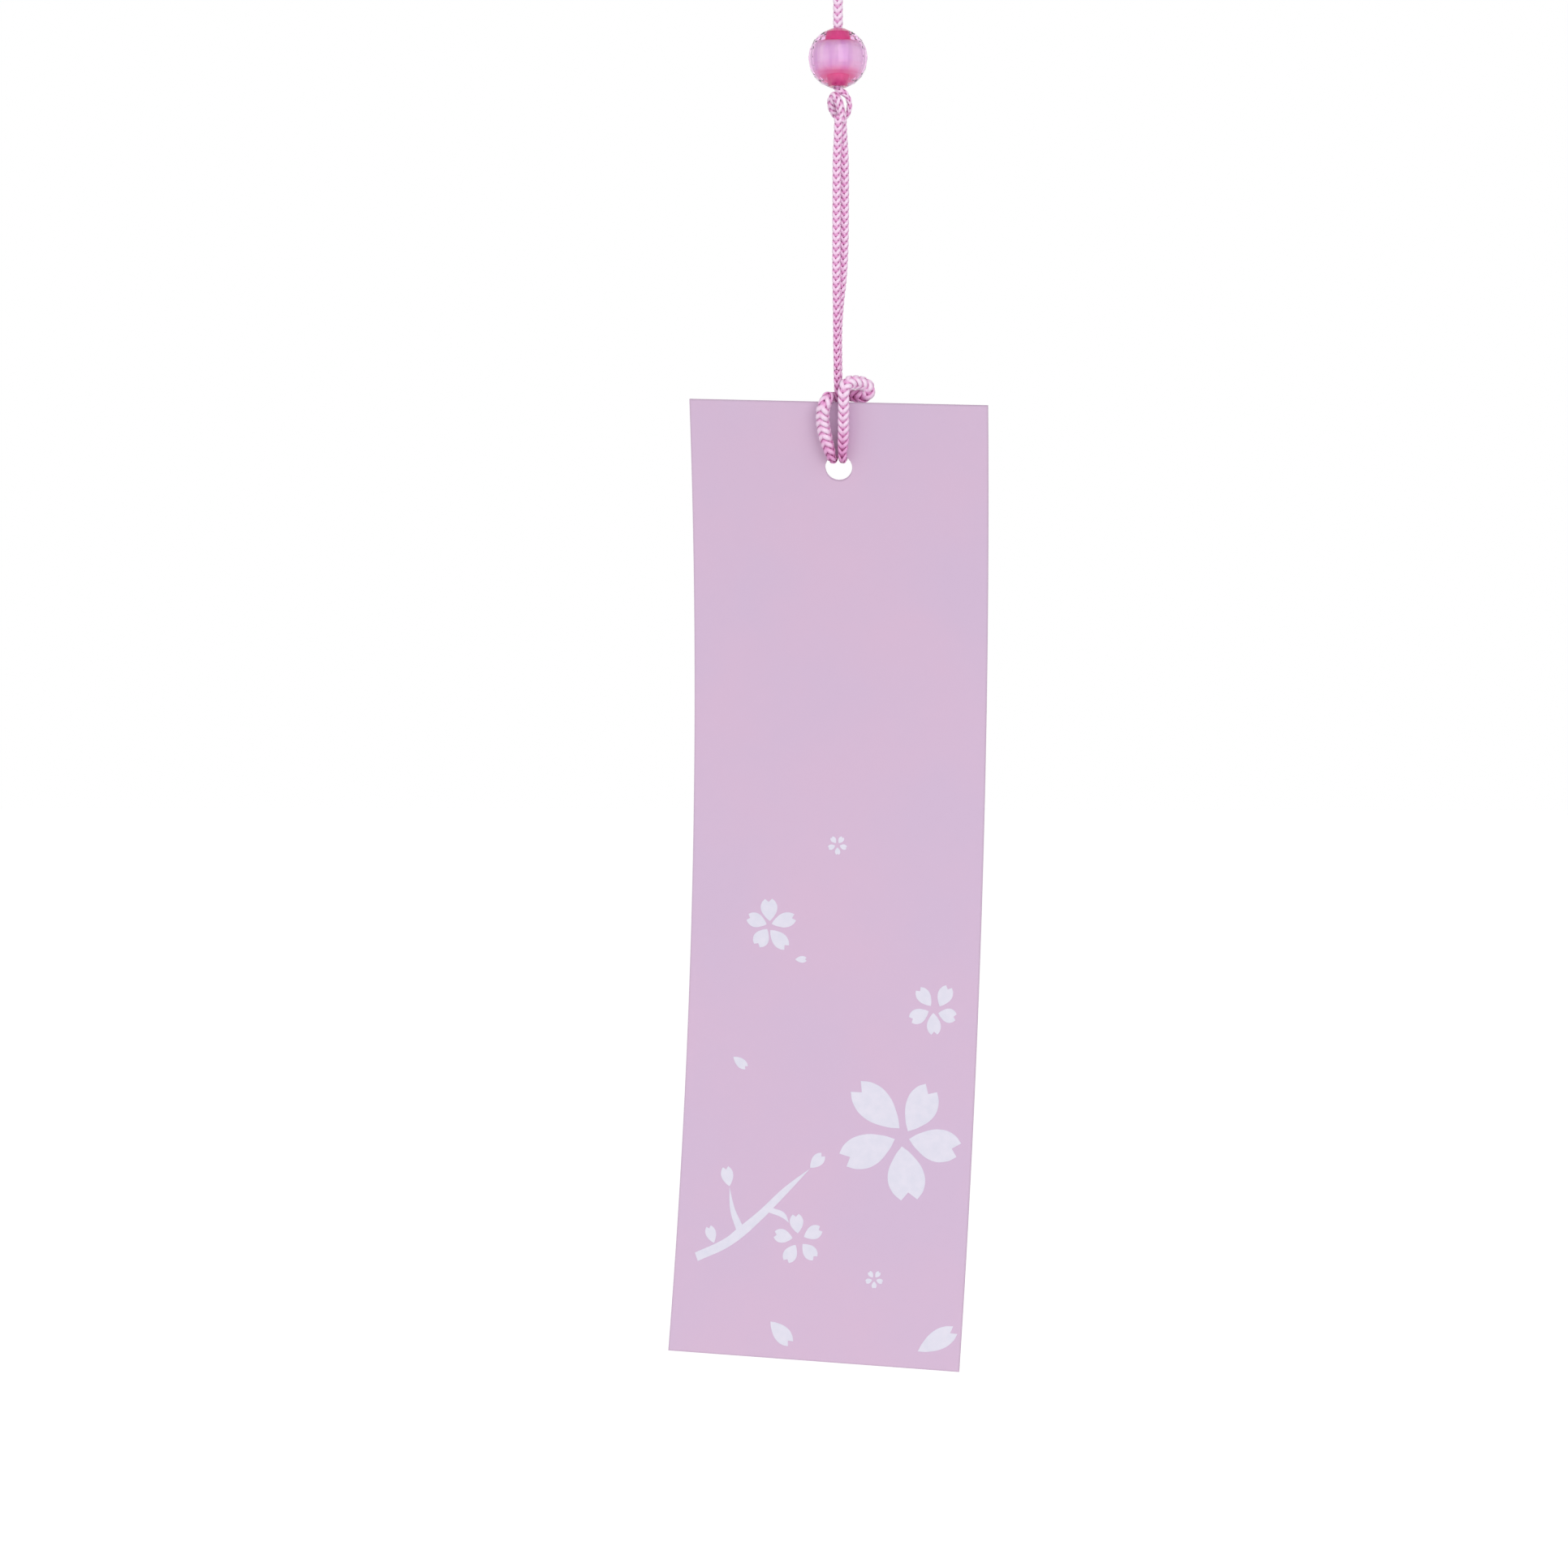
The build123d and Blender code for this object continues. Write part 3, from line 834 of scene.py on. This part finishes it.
def add_flat(bm, outline):
    """Fills a closed outline of mm points, sharp at its corners and round elsewhere, into a flat mesh."""
    curve = bpy.data.curves.new("outline", "CURVE")
    curve.dimensions = "2D"
    curve.fill_mode = "BOTH"
    curve.resolution_u = OUTLINE_STEPS
    spline = curve.splines.new("BEZIER")
    spline.bezier_points.add(len(outline) - 1)
    spline.use_cyclic_u = True
    for control, (x, y, corner) in zip(spline.bezier_points, outline):
        control.co = (x * MM, y * MM, 0)
        control.handle_left_type = control.handle_right_type = "VECTOR" if corner else "AUTO"
    holder = bpy.data.objects.new("outline", curve)
    filled = bpy.data.meshes.new_from_object(holder)
    bm.from_mesh(filled)
    bpy.data.objects.remove(holder)
    bpy.data.curves.remove(curve)
    bpy.data.meshes.remove(filled)


# %% Ink laid on a curved surface
INK_T = 0.03 * MM
INK_GAP = 0.005 * MM
INK_SQUARE = 2 * MM
ON_CUT = 0.0001 * MM  # a point this near to a cut counts as on it


def laid_ink(name, outlines, place, material):
    """Flat outlines, cut into small squares and laid where place(x, y) puts each of their points."""
    bm = bmesh.new()
    for outline in outlines:
        add_flat(bm, outline)
    for way in (Vector((1, 0, 0)), Vector((0, 1, 0))):
        reach = [vertex.co.dot(way) for vertex in bm.verts]
        for cut in range(int(min(reach) / INK_SQUARE) - 1, int(max(reach) / INK_SQUARE) + 2):
            bmesh.ops.bisect_plane(bm, geom=bm.verts[:] + bm.edges[:] + bm.faces[:], dist=ON_CUT,
                                   plane_co=way * cut * INK_SQUARE, plane_no=way)
    bm.normal_update()
    bmesh.ops.reverse_faces(bm, faces=[face for face in bm.faces if face.normal.z < 0])
    for vertex in bm.verts:
        vertex.co = place(vertex.co.x, vertex.co.y)
    ink = bpy.data.objects.new(name, bpy.data.meshes.new(name))
    bm.to_mesh(ink.data)
    bm.free()
    ink.data.materials.append(material)
    film = ink.modifiers.new("ink", "SOLIDIFY")
    film.thickness = INK_T
    film.offset = 1
    scene.collection.objects.link(ink)
    return ink


# %% White ink
def white_ink():
    """Opaque white ink, matt and slightly uneven, as it dries into uncoated card."""
    material, tree = new_material("white_ink_on_card")
    place = add_node(tree, "ShaderNodeTexCoord").outputs["Object"]
    clouds = add_node(tree, "ShaderNodeTexNoise", {"Vector": place, "Scale": 1 / (1.5 * MM), "Detail": 4.0})
    ramp = add_node(tree, "ShaderNodeValToRGB", {"Fac": clouds.outputs["Fac"]})
    ramp.color_ramp.elements[0].position = 0.3
    ramp.color_ramp.elements[0].color = linear("#E4E2F1")
    ramp.color_ramp.elements[1].position = 0.7
    ramp.color_ramp.elements[1].color = linear("#EBE7F5")
    shader = add_node(tree, "ShaderNodeBsdfPrincipled",
                      {"Base Color": ramp.outputs["Color"], "Roughness": 0.7, "Specular IOR Level": 0.3})
    finish_material(tree, shader)
    return material


# %% Blossoms on the card
# millimetres from the strip's middle and, as minus values, down from its top edge
LARGE_BLOSSOM = blossom(13.2, -124.4, 1, [
    (-0.7, 1.4, 139.7, 10.3, 5.8, 0),
    (0.75, 1.0, 64, 8.4, 5.4, 1),
    (1.0, -0.3, -9, 8.7, 5.5, 1),
    (-0.15, -1.6, -79, 9.1, 6.3, 0.5),
    (-1.4, -0.45, 205, 9.65, 5.65, -1),
])
LEFT_BLOSSOM = blossom(-11.3, -89.7, 1.06, [
    (0.0, 0.7, 95, 3.6, 2.7, 0),
    (0.3, 0.25, 18, 4.05, 2.35, 0),
    (0.1, -0.75, -44, 3.9, 2.4, 0),
    (-0.4, -0.6, -120, 3.2, 2.55, 0),
    (-0.5, 0.15, 162, 3.35, 2.3, 0),
])
RIGHT_BLOSSOM = blossom(17.35, -102.5, 1, [
    (0.05, -0.65, -85, 3.7, 2.35, 0),
    (1.1, 0.5, 67, 3.75, 2.5, 0),
    (0.9, -0.65, -10, 3.1, 2.4, 0),
    (-0.75, -0.4, 208, 3.5, 2.5, 0),
    (-0.4, 0.5, 129, 3.6, 2.35, 0),
])
SMALL_BLOSSOMS = even_blossom(0.05, -75.4, 3.35, -87) + even_blossom(9.6, -148.6, 3.1, -87)
LOOSE_PETALS = [
    petal(-6.7, -95.3, 3, 2.0, 1.15),
    petal(-16.8, -112.5, -36, 3.0, 1.6),
    petal(-7.7, -156.9, -43, 5.1, 2.75),
    petal(17.8, -160.1, 33, 7.3, 3.3),
]
# the stem and its shoots are one outline, so that no two films of ink overlap
TWIG = [
    [(-21.0, -147.6, 1), (-15.3, -144.5, 0), (-10.0, -139.5, 0), (-9.2, -138.6, 1), (-6.9, -139.3, 0),
     (-5.6, -140.1, 1), (-6.5, -138.5, 0), (-8.5, -137.8, 1), (-6.0, -134.9, 0), (-2.5, -130.7, 1),
     (-6.8, -134.2, 0), (-11.1, -138.6, 0), (-13.7, -140.95, 1), (-15.1, -138.4, 0), (-16.3, -134.7, 1),
     (-15.9, -138.7, 0), (-14.7, -141.85, 1), (-16.3, -143.3, 0), (-21.6, -146.2, 1)],
    petal(-2.5, -130.6, 48, 3.2, 2.0),
    petal(-16.3, -134.6, 105, 3.4, 2.1),
    petal(-18.4, -144.35, 112, 3.0, 1.8),
] + even_blossom(-3.8, -142.8, 8.6, 100)

ink_lift = CARD_T / 2 + INK_GAP
printed = LARGE_BLOSSOM + LEFT_BLOSSOM + RIGHT_BLOSSOM + SMALL_BLOSSOMS + LOOSE_PETALS + TWIG
print_ink = laid_ink("strip_print", printed, lambda x, y: on_strip(x, -y, ink_lift), white_ink())
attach(print_ink, "strip")
print("printed shapes:", len(printed), "faces:", len(print_ink.data.polygons))

# %% [markdown]
# ## Turned shapes
#
# The beads, the bell and the clapper are all round about the cord, so each is half a section spun about
# it. With a fine spin the piece is smooth. With only 18 steps it has 18 flat columns, which is how the
# facets of the cut beads are made.

# %% Spin a section


def turned(section, steps):
    """Spins a closed section of (radius, height) points about the upright axis."""
    bm = bmesh.new()
    corners = [bm.verts.new((radius, 0, height)) for radius, height in section]
    sides = [bm.edges.new(ends) for ends in zip(corners, corners[1:] + corners[:1])]
    bmesh.ops.spin(bm, geom=corners + sides, cent=(0, 0, 0), axis=(0, 0, 1), angle=2 * pi, steps=steps,
                   use_merge=True)
    bmesh.ops.remove_doubles(bm, verts=bm.verts, dist=MERGE)
    bmesh.ops.recalc_face_normals(bm, faces=bm.faces)
    return bm


# %% Set a piece down
SHARP_ANGLE = radians(38)


def set_down(bm, name, centre, material, body, node, smooth=True):
    """Moves a finished bmesh to its place and makes it the piece that stands for a node."""
    bmesh.ops.translate(bm, verts=bm.verts, vec=centre)
    for face in bm.faces:
        face.smooth = smooth
    for edge in bm.edges:
        edge.smooth = edge.calc_face_angle(0) < SHARP_ANGLE
    piece = bpy.data.objects.new(name, bpy.data.meshes.new(name))
    bm.to_mesh(piece.data)
    bm.free()
    piece.data.materials.append(material)
    scene.collection.objects.link(piece)
    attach(piece, body)
    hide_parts(node)
    print(name, len(piece.data.polygons), "faces")


# %% [markdown]
# ## The beads
#
# Each bead is pink acrylic, cut in flat facets round a pearly core. The clear shell bends the light so
# much that the core seems to fill the bead from side to side, and its two ends show as patches of hot
# pink above and below a pale band. So the core is really modelled, inside a shell that really refracts.

# %% Acrylic and pearl


def pink_acrylic():
    """Clear dyed acrylic, cut and polished: smooth, with hair scratches that only break up the gloss."""
    material, tree = new_material("polished_pink_acrylic")
    place = add_node(tree, "ShaderNodeTexCoord").outputs["Object"]
    scratches = add_node(tree, "ShaderNodeTexNoise",
                         {"Vector": place, "Scale": 1 / (0.4 * MM), "Detail": 3.0})
    bump = add_node(tree, "ShaderNodeBump",
                    {"Height": scratches.outputs["Fac"], "Strength": 0.04, "Distance": 0.02 * MM})
    shader = add_node(tree, "ShaderNodeBsdfPrincipled",
                      {"Base Color": linear("#F2C2EA"), "Roughness": 0.03, "IOR": 1.49,
                       "Transmission Weight": 1.0, "Normal": bump.outputs["Normal"]})
    finish_material(tree, shader)
    return material


def pearl_core():
    """Moulded pearl plastic: a pale lilac band, streaked upright, and hot pink dye at its ends."""
    material, tree = new_material("moulded_pearl_plastic")
    end = add_node(tree, "ShaderNodeAttribute", attribute_name="end").outputs["Fac"]
    place = add_node(tree, "ShaderNodeTexCoord").outputs["Object"]
    drawn = add_node(tree, "ShaderNodeMapping", {"Vector": place, "Scale": (1, 1, 0.2)})
    swirl = add_node(tree, "ShaderNodeTexNoise",
                     {"Vector": drawn.outputs[0], "Scale": 1 / (1.6 * MM), "Detail": 2.0})
    ramp = add_node(tree, "ShaderNodeValToRGB", {"Fac": swirl.outputs["Fac"]})
    ramp.color_ramp.elements[0].position = 0.35
    ramp.color_ramp.elements[0].color = linear("#EBCFF2")
    ramp.color_ramp.elements[1].position = 0.65
    ramp.color_ramp.elements[1].color = linear("#FFFAFF")
    colour = add_node(tree, "ShaderNodeMix", {"Factor": end}, data_type="RGBA")
    tree.links.new(ramp.outputs["Color"], colour.inputs["A"])
    colour.inputs["B"].default_value = linear("#F44D97")
    shader = add_node(tree, "ShaderNodeBsdfPrincipled",
                      {"Base Color": colour.outputs["Result"], "Roughness": 0.3, "IOR": 1.53})
    finish_material(tree, shader)
    return material


acrylic = pink_acrylic()
pearl = pearl_core()
print("finishes:", acrylic.name, "and", pearl.name)

# %% Cut beads
BEAD_R = 4.95 * MM
BEAD_COLUMNS = 18
BEAD_ROW = radians(18)
BEAD_END = radians(72)
BORE_R = 0.9 * MM
BORE_EDGE_R = 1.2 * BORE_R  # edges nearer to the cord than this belong to the bore and stay sharp
FACET_EDGE = 0.05 * MM
CORE_STEPS = 48
# radius and height in mm of the core's outline, from the end of the bore to the widest place
CORE_OUTLINE = [(0.95, 4.55), (1.3, 4.5), (1.4, 2.25), (2.2, 2.05), (2.85, 1.4), (3.0, 0.5)]
# height in mm and share of dye, from the lower end of the core to its upper end; the lower end has a
# little less dye, a painted highlight that makes it lighter than the upper
DYE = ((-5.0, 0.95), (-2.2, 0.95), (-2.0, 0.55), (-1.4, 0.2), (-0.5, 0.0), (1.4, 0.0), (2.05, 0.3),
       (2.25, 1.0), (5.0, 1.0))

rows = round(2 * BEAD_END / BEAD_ROW)
leans = [-BEAD_END + BEAD_ROW * i for i in range(rows + 1)]
bead_half = BEAD_R * sin(BEAD_END)
bead_arc = [(BEAD_R * cos(lean), BEAD_R * sin(lean)) for lean in leans]
bead_section = [(BORE_R, -bead_half)] + bead_arc + [(BORE_R, bead_half)]
core_half = [(radius * MM, height * MM) for radius, height in CORE_OUTLINE]
core_section = [(radius, -height) for radius, height in core_half] + core_half[::-1]

for bead in ("top_bead", "tail_bead"):
    centre = middle(bead + "_shell")
    bm = turned(bead_section, BEAD_COLUMNS)
    cuts = [edge for edge in bm.edges if min(vertex.co.xy.length for vertex in edge.verts) > BORE_EDGE_R]
    bmesh.ops.bevel(bm, geom=cuts, offset=FACET_EDGE, affect="EDGES", segments=1, profile=0.5, material=-1)
    set_down(bm, bead + "_facets", centre, acrylic, bead, bead + "_shell", smooth=False)
    bm = turned(core_section, CORE_STEPS)
    end_layer = bm.verts.layers.float.new("end")
    for vertex in bm.verts:
        vertex[end_layer] = read_off(DYE, vertex.co.z / MM)
    set_down(bm, bead + "_pearl", centre, pearl, bead, bead + "_core")

# %% [markdown]
# ## The bell, its clapper and the stop bead
#
# The bell is a blown glass ball, cut open below and fire polished. Blown glass is never quite even, so
# its surface waves a little, which shows in its reflections. It is painted with the same blossoms as the
# strip. The clapper is a length of glass tube, and a turned wooden bead inside the crown carries the bell.

# %% Glass and wood


def blown_glass(name, tint, wave):
    """Clear soda glass with the faint waves of hand work, this far apart."""
    material, tree = new_material(name)
    place = add_node(tree, "ShaderNodeTexCoord").outputs["Object"]
    waves = add_node(tree, "ShaderNodeTexNoise", {"Vector": place, "Scale": 1 / wave, "Detail": 1.0})
    bump = add_node(tree, "ShaderNodeBump",
                    {"Height": waves.outputs["Fac"], "Strength": 0.4, "Distance": 1.2 * MM})
    shader = add_node(tree, "ShaderNodeBsdfPrincipled",
                      {"Base Color": linear(tint), "Roughness": 0.01, "IOR": 1.52,
                       "Transmission Weight": 1.0, "Normal": bump.outputs["Normal"]})
    finish_material(tree, shader)
    return material


def turned_wood():
    """Plain turned beech: growth rings along the bore, waxed and half matt."""
    material, tree = new_material("turned_waxed_beech")
    place = add_node(tree, "ShaderNodeTexCoord").outputs["Object"]
    rings = add_node(tree, "ShaderNodeTexWave",
                     {"Vector": place, "Scale": 1 / (9 * MM), "Distortion": 3.0, "Detail": 2.0,
                      "Detail Scale": 1.5}, bands_direction="X")
    ramp = add_node(tree, "ShaderNodeValToRGB", {"Fac": rings.outputs["Fac"]})
    ramp.color_ramp.elements[0].color = linear("#C79A66")
    ramp.color_ramp.elements[1].color = linear("#DDBB8A")
    bump = add_node(tree, "ShaderNodeBump",
                    {"Height": rings.outputs["Fac"], "Strength": 0.1, "Distance": 0.05 * MM})
    shader = add_node(tree, "ShaderNodeBsdfPrincipled",
                      {"Base Color": ramp.outputs["Color"], "Roughness": 0.45,
                       "Normal": bump.outputs["Normal"]})
    finish_material(tree, shader)
    return material


clear_glass = blown_glass("blown_clear_glass", "#F6FAFA", 24 * MM)
print("finish:", clear_glass.name)

# %% Bell
BELL_R = 40 * MM
BELL_WALL = 1.8 * MM
MOUTH_DROP = 22 * MM
RIM_LIP = 0.9 * MM
CROWN_HOLE_R = 2 * MM
WALL_POINTS = 40
LIP_POINTS = 8
BELL_STEPS = 96


def wall_arc(radius):
    """The section of one face of the glass, from the crown's hole to the rim."""
    top, bottom = acos(CROWN_HOLE_R / radius), -asin(MOUTH_DROP / radius)
    leans = [top + (bottom - top) * i / WALL_POINTS for i in range(WALL_POINTS + 1)]
    return [(radius * cos(lean), radius * sin(lean)) for lean in leans]


outer, inner = wall_arc(BELL_R), wall_arc(BELL_R - BELL_WALL)
lip_middle = (outer[-1][0] + inner[-1][0]) / 2
lip_half = (outer[-1][0] - inner[-1][0]) / 2
lip = [(lip_middle + lip_half * cos(pi * i / LIP_POINTS), -MOUTH_DROP - RIM_LIP * sin(pi * i / LIP_POINTS))
       for i in range(1, LIP_POINTS)]
bell_centre = Vector((0, 0, JOINT_Z["bell_turn"]))
set_down(turned(outer + lip + inner[::-1], BELL_STEPS), "blown_glass_dome", bell_centre, clear_glass,
         "bell", "glass_bell")

# %% Blossoms painted on the bell
PAINT_GAP = 0.02 * MM
paint_r = BELL_R + PAINT_GAP


def enamel(name, edge, heart):
    """Glass paint brushed on by hand: half glossy, uneven in tone, glowing with light from behind."""
    material, tree = new_material(name)
    place = add_node(tree, "ShaderNodeTexCoord").outputs["Object"]
    strokes = add_node(tree, "ShaderNodeTexNoise", {"Vector": place, "Scale": 1 / (3 * MM), "Detail": 3.0})
    ramp = add_node(tree, "ShaderNodeValToRGB", {"Fac": strokes.outputs["Fac"]})
    ramp.color_ramp.elements[0].position = 0.3
    ramp.color_ramp.elements[0].color = linear(heart)
    ramp.color_ramp.elements[1].position = 0.7
    ramp.color_ramp.elements[1].color = linear(edge)
    shader = add_node(tree, "ShaderNodeBsdfPrincipled",
                      {"Base Color": ramp.outputs["Color"], "Roughness": 0.5, "IOR": 1.3,
                       "Transmission Weight": 0.7})
    finish_material(tree, shader)
    return material


def on_dome(x, y):
    """A place on the bell: x is the way round it at its widest place, y the way up from there."""
    turn, lean = x / paint_r, y / paint_r
    return bell_centre + Vector((sin(turn) * cos(lean), -cos(turn) * cos(lean), sin(lean))) * paint_r


# millimetres round the bell, up from its widest place, across the blossom, and the first petal's angle
PALE_BLOSSOMS = [(0, 6, 24, 80), (92, 10, 22, 110), (-70, -4, 18, 60), (150, 2, 20, 95)]
DEEP_BLOSSOMS = [(28, -6, 15, 40), (-36, 14, 13, 100), (118, -8, 14, 75), (-112, 4, 15, 90)]
# millimetres round the bell and up, degrees, and length
DRIFTING = [(-20, -11, 35, 5.5), (52, 14, 150, 5), (62, -12, 20, 5), (-92, 20, 70, 4.5),
            (-48, -14, 160, 5.5), (170, 20, 40, 5), (-140, -10, 120, 5)]
DRIFT_WIDTH = 0.55
pale = [outline for spot in PALE_BLOSSOMS for outline in even_blossom(*spot)]
deep = [outline for spot in DEEP_BLOSSOMS for outline in even_blossom(*spot)]
deep += [petal(x, y, angle, length, length * DRIFT_WIDTH) for x, y, angle, length in DRIFTING]
for name, outlines, edge, heart in (("bell_blossoms_pale", pale, "#FFEAF3", "#FBD2E3"),
                                    ("bell_blossoms_deep", deep, "#F7B0D0", "#EF8FBD")):
    paint = laid_ink(name, outlines, on_dome, enamel(name + "_enamel", edge, heart))
    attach(paint, "bell")
    print(name, len(outlines), "shapes")

# %% Clapper tube and stop bead
TUBE_R = 3 * MM
TUBE_EDGE = 0.4 * MM
EDGE_POINTS = 4
STOP_R = 4 * MM
STOP_HALF = 3.6 * MM
STOP_POINTS = 16
ROUND_STEPS = 48

low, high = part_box("clapper_tube")
half = (high.z - low.z) / 2
corner = [(sin(pi / 2 * i / EDGE_POINTS), cos(pi / 2 * i / EDGE_POINTS)) for i in range(EDGE_POINTS + 1)]
top_edge = [(TUBE_R - TUBE_EDGE * (1 - across), half - TUBE_EDGE * (1 - up)) for across, up in corner]
tube_half = [(BORE_R, half)] + top_edge
tube_section = tube_half + [(radius, -height) for radius, height in reversed(tube_half)]
set_down(turned(tube_section, ROUND_STEPS), "clapper_glass_tube", (low + high) / 2,
         blown_glass("drawn_tube_glass", "#DDF0F2", 14 * MM), "clapper", "clapper_tube")

stop_lean = asin(STOP_HALF / STOP_R)
leans = [-stop_lean + 2 * stop_lean * i / STOP_POINTS for i in range(STOP_POINTS + 1)]
stop_arc = [(STOP_R * cos(lean), STOP_R * sin(lean)) for lean in leans]
stop_section = [(BORE_R, -STOP_HALF)] + stop_arc + [(BORE_R, STOP_HALF)]
set_down(turned(stop_section, ROUND_STEPS), "stop_bead_turned", middle("stop_bead"), turned_wood(),
         "suspension", "stop_bead")

# %% Update the scene
bpy.context.view_layer.update()
